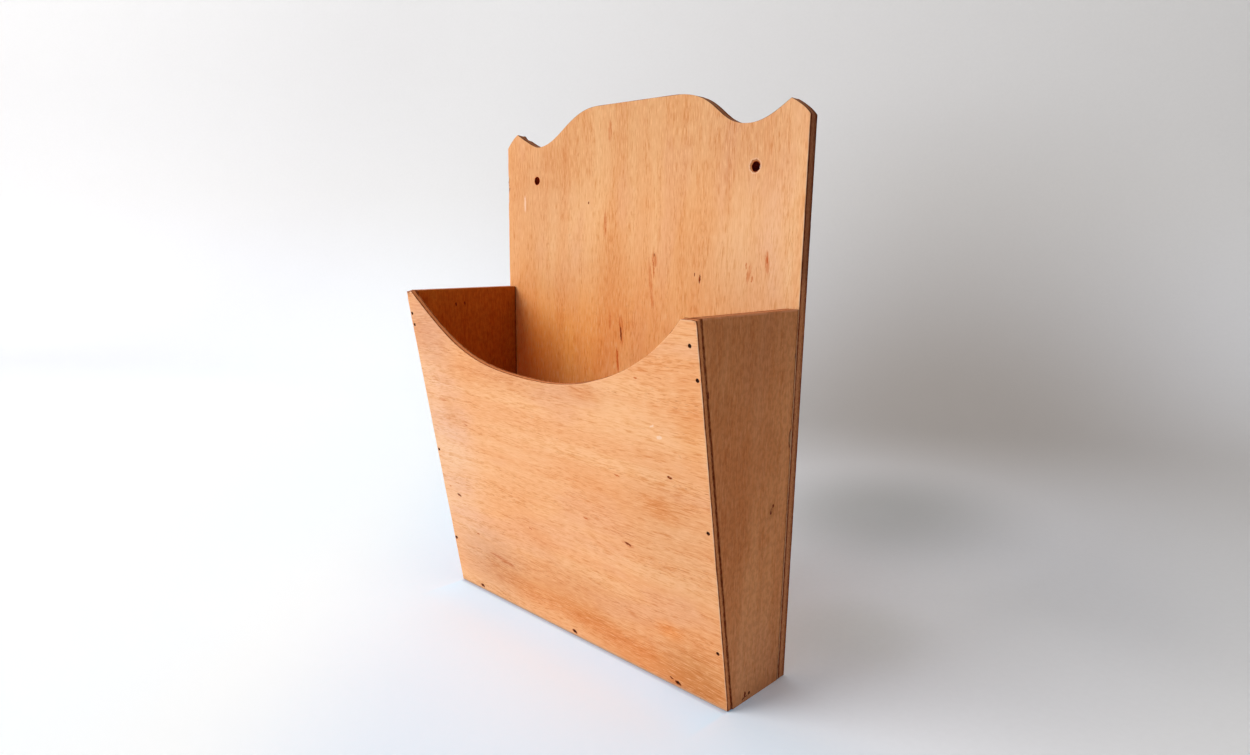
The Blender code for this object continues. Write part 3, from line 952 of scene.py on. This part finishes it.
# Marks in each board's own u and v, in mm: across, up, half length, half width, turn in degrees
BACK_MARKS = {
    "streaks": (
        (-18.5, 290.5, 1.5, 6.5, 0), (-21.9, 238, 1.3, 9, 0),
        (15.3, 205, 1.3, 16, 7), (17.6, 219, 2.2, 4.5, 10), (-7.6, 177, 2.1, 9.5, 5),
        (-10.4, 159, 1.0, 9, 6), (-17, 182, 1.0, 5.5, 0), (92.6, 220, 1.4, 6, 3), (82, 214, 1.4, 6, -12),
    ),
    "flecks": (
        (-36, 250.8, 0.5, 0.9, 0), (50.3, 209.6, 0.55, 2.4, 0), (17.3, 221.5, 0.4, 1.2, 0),
        (-7.8, 175, 0.6, 4.5, 5), (46.6, 212, 0.4, 1.0, 0), (-112.3, 263, 0.5, 6.0, 0),
    ),
    "faint": (
        (-22, 240, 0.45, 2.6, 0), (84, 211, 0.5, 1.8, -10), (80.1, 217.6, 0.45, 1.8, 0),
        (92.6, 221, 0.4, 2.0, 0), (17.0, 214, 0.5, 6.0, 6), (-10.4, 160, 0.5, 7.0, 6),
    ),
    "pale": ((-95.4, 251, 0.9, 5.5, 0), (RIGHT_HOLE.x / MM - 0.5, RIGHT_HOLE.y / MM + 0.3, 3.8, 3.8, 0)),
}
FOOT_PINS = [front.local(pin_ends(name)[0]) for name in PINS if name.startswith("front_pin_foot")]
LOW_LEFT_PIN = front.local(pin_ends("front_pin_left_1")[0])
FRONT_MARKS = {
    "flecks": (
        (88.6, 124.5, 1.8, 0.7, -6), (55.1, 79.2, 2.4, 0.7, -12), (-96.8, 69.2, 2.2, 0.9, -15),
        (76.3, 5.8, 1.4, 0.6, -20), *[(at.x / MM, at.y / MM, 2.2, 1.2, -15) for at in FOOT_PINS],
        (LOW_LEFT_PIN.x / MM, LOW_LEFT_PIN.y / MM, 1.5, 1.2, 0),
    ),
    "faint": (
        (53, 117.5, 2.0, 0.5, -10), (24.8, 85.7, 2.0, 0.5, -8),
        (73.3, 171.6, 1.3, 0.5, 0), (-105.5, 73.5, 1.2, 0.5, 0), (-83.1, 44.9, 1.4, 0.5, 0),
        (-26.3, 64.9, 1.6, 0.45, -10), (-74.4, 121.7, 1.6, 0.45, -10),
    ),
    "streaks": ((-95, 135.2, 4, 1.2, -10), (55, 79, 5, 1.5, -12), (-60, 33, 12, 1.6, -8)),
    "pale": ((84.7, 143.9, 1.9, 1.0, 10), (80.6, 148.9, 1.6, 0.5, 30)),
}


AMBER = (0.93, 0.78, 0.60)
DEEP_AMBER = (1.05, 0.80, 0.42)

BACK_LOOK = {
    "grain": "v",
    "figure": 1.15,
    "tones": ((247, 192, 138), (243, 181, 126), (237, 169, 111), (251, 202, 151), (241, 180, 133)),
    "core": ((176, 108, 66), (208, 138, 94)),
    "dark_plies": ((2.35, 0.9, 1.0), (-1.3, 0.35, 0.7), (-2.7, 1.1, 1.0)),
    "pale_arris": 0.15,
    "rubbed": PALE_WOOD,
    "dark_above": 205,
    # Stain and painted shade in the hanging holes, and the crushed ring round the right one
    "dark_holes": (
        (*LEFT_HOLE / MM, 2.55, HOLE_STAIN_AND_SHADE),
        (RIGHT_HOLE.x / MM - 0.5, RIGHT_HOLE.y / MM + 0.3, 3.1, CRUSHED),
        (*RIGHT_HOLE / MM, 2.5, HOLE_STAIN_AND_SHADE),
    ),
    "tints": (
        # The first tint, DEEP_AMBER low on the left, and the tint at (-98, 155) by the left corner are
        # painted light: the warm, saturated bounce inside the pocket beside the left side
        (-62, 150, 78, 78, 0, DEEP_AMBER, 1.0), (10, 178, 95, 55, 0, (1.03, 0.88, 0.70), 1.0),
        (0, 312, 150, 85, 0, (0.84, 0.81, 0.79), 1.0), (92, 225, 55, 65, 0, (1.0, 1.09, 1.24), 1.0),
        (-80, 262, 62, 55, 0, (0.90, 0.86, 0.87), 1.0), (85, 285, 60, 50, 0, (0.90, 0.88, 0.92), 1.0),
        (-98, 155, 36, 72, 0, (1.16, 0.97, 0.58), 1.0),
        (-55, 272, 30, 18, 0, AMBER, 0.4), (66.5, 256, 3.5, 26, 2, (0.92, 0.82, 0.74), 0.8),
        (-20, 225, 16, 50, 0, AMBER, 0.35), (35, 235, 9, 60, 8, AMBER, 0.3),
        (92, 268, 12, 34, 0, AMBER, 0.3),
    ),
    "marks": BACK_MARKS,
    "rubbed_edges": ((1, 0, HALF_WIDTH, 0.8), (-1, 0, HALF_WIDTH, 0.8)),
}

FRONT_LOOK = {
    "grain": "u",
    "figure": 1.25,
    "tones": ((249, 191, 140), (245, 180, 128), (240, 168, 113), (252, 202, 154), (241, 178, 134)),
    "core": ((192, 116, 68), (218, 142, 92)),
    "dark_plies": ((1.25, 0.6, 1.0), (-1.35, 0.65, 1.0)),
    "rubbed": PALE_WOOD,
    # Painted shade on the face inside the pocket
    "inner": (0.74, 0.48, 0.22),
    "tints": (
        # The first tint, paler and less orange down the panel's left side, is a painted reflection of the
        # window
        (-100, 105, 45, 115, 0, (1.0, 1.16, 1.45), 1.0), (-95, 182, 36, 36, 0, (0.87, 0.84, 0.94), 1.0),
        (-72, 28, 50, 36, 0, (0.84, 0.88, 1.0), 1.0), (95, 12, 40, 30, 0, (0.85, 0.91, 0.93), 1.0),
        (0, 35, 90, 30, 0, (0.92, 0.91, 0.90), 1.0), (0, 160, 85, 16, 0, (0.92, 0.88, 0.89), 1.0),
        (88, 90, 50, 70, 0, (0.93, 0.94, 0.96), 1.0),
        (-88, 128, 14, 18, 0, AMBER, 0.6), (-50, 22, 50, 14, -4, AMBER, 0.9),
        (10, 20, 60, 15, -5, AMBER, 1.0), (70, 10, 55, 16, -3, AMBER, 0.9),
        (-20, 62, 26, 10, -8, AMBER, 0.5),
        (80, 105, 20, 10, -15, AMBER, 0.8), (64, 121, 9, 6, 0, AMBER, 0.5), (36, 158, 18, 6, 0, AMBER, 0.8),
        (78, 36, 14, 8, 0, DEEP_AMBER, 0.6), (104, 150, 12, 30, 0, AMBER, 0.6),
        (98, 14, 34, 30, 0, AMBER, 0.8),
    ),
    "marks": FRONT_MARKS,
    "rubbed_edges": (
        (1, 0, HALF_WIDTH, 0.9), (-1, 0, HALF_WIDTH, 0.9), (0, 1, front.high.y, 1.0),
    ),
    # Partly wear, partly painted shade along the foot
    "scuffed_and_shaded_edges": ((0, -1, -front.low.y - 0.6 * MM, 1.9),),
}


def on_side(flat, *places):
    """Places on a side in its own u and v, in mm, from their distances to the wall and their heights."""
    made = []
    for depth, height, *rest in places:
        point = flat.local((0, WALL_Y - depth * MM, height * MM))
        made.append((point.x / MM, point.y / MM, *rest))
    return made


def edge_line(flat, across, up, reach, width):
    """A straight edge in a side's own frame, given in the holder's y and z."""
    direction = flat.inverse.to_3x3() @ Vector((0, across, up))
    return (direction.x, direction.y, reach, width)


def side_look(flat, flecks):
    rear = edge_line(flat, 1, 0, BACK_FACE_Y - JOINT_GAP, 0.9)
    slant = edge_line(flat, front.w.y, front.w.z, front.w.y * behind_front_panel(0), 0.8)
    top = edge_line(flat, 0, 1, POCKET_HEIGHT, 1.2)
    return {
        "grain": "v",
        "figure": 0.8 if flat is right else 1.7,
        "mottled": 0.8,
        "tones": ((227, 154, 99), (219, 142, 87), (207, 127, 74), (231, 162, 109), (218, 144, 94)),
        "core": ((176, 106, 64), (206, 134, 88)),
        "dark_plies": ((2.0, 0.3, 0.7), (-2.0, 0.3, 0.7)),
        "rubbed": RUBBED_SIDE,
        "marks": {"flecks": flecks},
        "dirty_shaded_edges": (rear, slant),
        "rubbed_edges": (top,),
        # Painted shade on the face inside the pocket
        "inner": (0.72, 0.48, 0.15),
        "tints": KNOT_HALOES_AND_PAINTED_BOUNCE if flat is right else (),
    }


# The first two tints are painted light: the side darker towards its top, and cooler and paler at its foot,
# where the white floor's bounce falls. The others are haloes round the knot and darker patches of its
# figure.
KNOT_HALOES_AND_PAINTED_BOUNCE = on_side(
    right,
    (45, 205, 90, 75, 0, (0.86, 0.82, 0.80), 1.0), (30, 10, 70, 60, 0, (0.95, 1.0, 1.12), 1.0),
    (20.4, 99.5, 4.5, 8, -20, (0.80, 0.72, 0.62), 0.9), (64, 156, 9, 16, 0, (0.90, 0.84, 0.78), 0.8),
    (20, 124, 8, 16, 0, (0.90, 0.84, 0.78), 0.8), (26, 136, 12, 14, 0, (0.92, 0.88, 0.82), 0.8),
)
RIGHT_FLECKS = on_side(
    right,
    (19.6, 100.7, 0.8, 1.2, -20), (21.1, 98.1, 1.0, 1.7, -20), (36.8, 2.4, 2.4, 0.45, 12),
    (36.4, 4.2, 0.9, 1.7, 0), (7.6, 133.5, 1.3, 5.0, 0), (59.9, 72.2, 0.5, 1.6, 8),
    (75.4, 164.1, 0.5, 1.8, 8), (7.3, 175.2, 0.4, 1.6, 0),
)
LEFT_FLECKS = on_side(left, (54.4, 188.4, 0.6, 1.2, 0), (47.6, 188.8, 0.6, 1.2, 0))
BOTTOM_LOOK = {
    "grain": "u",
    "figure": 1.0,
    "tones": ((222, 148, 90), (213, 134, 76), (198, 116, 60), (228, 158, 102), (214, 138, 86)),
    "core": ((176, 116, 82), (212, 150, 112)),
    "dark_plies": ((2.0, 0.3, 0.7), (-2.0, 0.3, 0.7)),
}


def dress(obj, material, node):
    obj.data.materials.clear()
    obj.data.materials.append(material)
    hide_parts(node)
    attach(obj, "root")


def make_boards():
    boards = (
        (back, make_back_board(), BACK_LOOK),
        (front, make_front_panel(), FRONT_LOOK),
        (left, make_side(left), side_look(left, LEFT_FLECKS)),
        (right, make_side(right), side_look(right, RIGHT_FLECKS)),
        (bottom, make_bottom_board(), BOTTOM_LOOK),
    )
    for flat, obj, look in boards:
        smooth_by_angle(obj)
        veneer = plywood(f"{flat.side}_veneer", flat, look)
        dress(obj, veneer, flat.node)


# Studio: floor, lamps and camera

CAMERA_PLACE = Vector((0.32434, -0.34935, 0.23104))
CAMERA_YAW = math.radians(43.715)
CAMERA_PITCH = math.radians(12.038)
CAMERA_ROLL = math.radians(0.826)
CAMERA_LENS = 23.27
CAMERA_SHIFT_Y = 0.0256
SENSOR_WIDTH = 36
CLIP_START = 0.01
BACKDROP_YAW = math.radians(26)

# Lamps, in metres and watts, and the strength of the air's light
LAMP_TARGET = (0, 0, 0.13)
WINDOW = {"place": (-1.59, -2.36, 1.85), "size": 2.6, "power": 93, "colour": (1.0, 0.99, 0.975)}
CEILING = {"place": (0.1, -0.2, 2.2), "size": 1.8, "power": 6}
AIR_STRENGTH = 0.225

# The sheet of paper: where it starts, stands and ends, and the curve between floor and wall
SHEET_LEFT, SHEET_WIDTH = -5, 8
SHEET_START, SHEET_WALL, SHEET_TOP = -2.5, 1.05, 2.2
SHEET_CURVE, CURVE_STEPS = 0.4, 14

# The paper's colours, and the painted shade and shadows that darken it: places and reaches are in metres
FLOOR_PAPER = srgb(246, 248, 254)
WALL_PAPER_SHADED = srgb(235, 234, 234)
SHADOW_BEHIND_PLACE, SHADOW_BEHIND_REACH, SHADOW_BEHIND_TINT = (0.25, 0.70, 0.06), (0.66, 0.68, 0.54), (0.425, 0.375, 0.325)
HIGH_LEFT_SHADE = (0.945, 0.945, 0.945)
RIGHT_SHADE_TINT = (0.95, 0.93, 0.87)
CONTACT_SHADOW_TINT = (0.76, 0.78, 0.84)
BOUNCE_CANCELLING_TINT = (0.90, 0.98, 1.0)
PAPER_GRAIN = 0.04
FLOOR_SHADES = (((0.02, 0.33, 0), (0.15, 0.19, 1), 0.66), ((0.115, 0.115, 0), (0.06, 0.07, 1), 0.88))
SHADE_WARMTH = 0.97

# Painted light: glow seen directly on the paper before the foot, further left, at the foot and beside the
# holder
NO_GLOW = (0, 0, 0)
GLOW_BEFORE, GLOW_LEFT, GLOW_AT_FOOT = (0, 0.09, 0.16), (0.14, 0.165, 0.145), (0, 0.05, 0.11)
BESIDE_PLACE, BESIDE_REACH, GLOW_BESIDE = (0.150, 0.195, 0), (0.12, 0.16, 0.05), (0.065, 0.065, 0.06)
GLOW_GONE, GLOW_WHOLE = 1.5, 0.75


def make_camera():
    """The photograph's view, placed from the middle of the back board's foot, at the wall."""
    data = bpy.data.cameras.new("camera")
    data.lens = CAMERA_LENS
    data.sensor_width = SENSOR_WIDTH
    data.shift_y = CAMERA_SHIFT_Y
    data.clip_start = CLIP_START
    camera = add_to_scene("camera", data)
    turn = (
        Matrix.Rotation(CAMERA_YAW, 4, "Z")
        @ Matrix.Rotation(math.radians(90) - CAMERA_PITCH, 4, "X")
        @ Matrix.Rotation(CAMERA_ROLL, 4, "Z")
    )
    camera.matrix_world = Matrix.Translation(CAMERA_PLACE + Vector((0, WALL_Y, 0))) @ turn
    bpy.context.scene.camera = camera


def add_lamp(name, place, size, power, colour=(1, 1, 1)):
    data = bpy.data.lights.new(name, "AREA")
    data.shape = "DISK"
    data.size = size
    data.energy = power
    data.color = colour
    lamp = add_to_scene(name, data)
    lamp.location = place
    lamp.rotation_euler = (Vector(LAMP_TARGET) - Vector(place)).to_track_quat("-Z", "Y").to_euler()
    lamp.visible_camera = False


def paper_finish():
    """White paper, brightest on the floor, with painted shade and light: greyer as it rises and to the
    right, painted shadows behind and beside the holder and under its foot, and a painted glow that the
    camera sees directly.
    """
    finish = Finish("backdrop_paper")
    ramp, mix, times, tinted = finish.ramp, finish.mix, finish.times, finish.tinted
    place = finish.object_place
    laid = finish.mapped(place, rotation=(0, 0, -BACKDROP_YAW))
    grain = finish.noise(finish.mapped(place, scale=(260, 260, 260)), detail=4.0)
    aside, _, rise = finish.parts(laid)
    across, along, _ = finish.parts(place)

    # Greyer as it rises: the wall is a darker copy of the floor's paper, painted shade where less light
    # reaches it
    colour = mix(ramp(rise, 0.0, 0.35), FLOOR_PAPER, WALL_PAPER_SHADED)
    # Painted shadow of the holder on the paper behind it
    shadow_behind = ramp(finish.patch(laid, SHADOW_BEHIND_PLACE, SHADOW_BEHIND_REACH), 1.0, 0.1, 0, 0.9)
    colour = tinted(shadow_behind, colour, SHADOW_BEHIND_TINT)
    # Painted shade high on the left of the wall
    high_left_shade = times(ramp(aside, -0.3, -0.9), ramp(rise, 0.25, 0.6))
    colour = tinted(high_left_shade, colour, HIGH_LEFT_SHADE)
    colour = tinted(PAPER_GRAIN, colour, grain)
    # Painted shade: greyer and warmer towards the right
    colour = tinted(ramp(across, 0.10, 0.45), colour, RIGHT_SHADE_TINT)

    under_foot = finish.apart(along, FRONT_FOOT_Y - 0.3 * MM)
    inside_width = ramp(finish.math("ABSOLUTE", across), HALF_WIDTH + 1 * MM, HALF_WIDTH - 2 * MM)
    # Painted contact shadow in a thin strip under the front panel's foot
    contact_shadow = times(ramp(under_foot, 3.2 * MM, 0.3 * MM), inside_width)
    colour = tinted(contact_shadow, colour, CONTACT_SHADOW_TINT)
    # Painted light: a cool cast before the foot that cancels the warm light the wood throws onto the paper
    warm_bounce_cancelled = times(ramp(under_foot, 40 * MM, 3 * MM), inside_width)
    colour = tinted(warm_bounce_cancelled, colour, BOUNCE_CANCELLING_TINT)
    # Painted shadows of the holder on the floor, behind it and beside its foot
    for centre, reach, shade in FLOOR_SHADES:
        mask = ramp(finish.patch(place, centre, reach), 1.0, 0.1)
        colour = tinted(mask, colour, (shade, shade, SHADE_WARMTH * shade))

    distance = finish.vector_math("LENGTH", place)
    softly = finish.math("SUBTRACT", -0.045, times(distance, 0.35))
    before_foot = ramp(finish.vector_math("DOT_PRODUCT", place, (-0.35, -0.94, 0)), softly, -0.005)
    out_left = ramp(finish.vector_math("DOT_PRODUCT", place, (-0.71, -0.71, 0)), 0.07, 0.20)
    glow = mix(out_left, GLOW_BEFORE, GLOW_LEFT)
    glow = mix(warm_bounce_cancelled, glow, GLOW_AT_FOOT, "ADD")
    glow = mix(times(before_foot, ramp(contact_shadow, 0, 1, 1, 0.2)), NO_GLOW, glow)
    # A painted pool of light that lightens the holder's shadow beside it
    beside = finish.patch(place, BESIDE_PLACE, BESIDE_REACH)
    glow = mix(ramp(beside, 1.0, 0.0), glow, GLOW_BESIDE, "ADD")
    glow = mix(ramp(distance, GLOW_GONE, GLOW_WHOLE), NO_GLOW, glow)
    finish.shade({
        "Base Color": colour, "Roughness": 0.9, "Specular IOR Level": 0.1,
        "Emission Color": glow, "Emission Strength": finish.seen_directly(),
    })
    return finish.material


def make_studio():
    """A sheet of paper that runs under the holder and curves up behind it, and the lamps."""
    form = bmesh.new()
    floor_end = SHEET_WALL - SHEET_CURVE
    profile = [(SHEET_START, 0), (floor_end, 0)]
    for step in range(1, CURVE_STEPS + 1):
        angle = math.pi / 2 * step / CURVE_STEPS
        height = SHEET_CURVE - SHEET_CURVE * math.cos(angle)
        profile.append((floor_end + SHEET_CURVE * math.sin(angle), height))
    profile.append((SHEET_WALL, SHEET_TOP))
    _, edges = open_chain(form, [(SHEET_LEFT, along, height) for along, height in profile])
    made = bmesh.ops.extrude_edge_only(form, edges=edges)
    bmesh.ops.translate(form, verts=only(made["geom"], bmesh.types.BMVert), vec=(SHEET_WIDTH, 0, 0))
    face_outwards(form)
    sheet = new_object("backdrop", form, Matrix.Rotation(BACKDROP_YAW, 4, "Z"))
    sheet.data.shade_smooth()
    sheet.data.materials.append(paper_finish())

    world = bpy.data.worlds.new("studio_air")
    world.use_nodes = True
    air = world.node_tree.nodes["Background"].inputs
    air["Color"].default_value = (1, 1, 1, 1)
    air["Strength"].default_value = AIR_STRENGTH
    bpy.context.scene.world = world
    add_lamp("window", **WINDOW)
    add_lamp("ceiling", **CEILING)


for pin_name in PINS:
    make_pin(pin_name).data.materials.append(bpy.data.materials.get("dull_pin_steel") or pin_steel())
make_boards()
make_studio()
make_camera()
bpy.context.scene.view_settings.view_transform = "Standard"
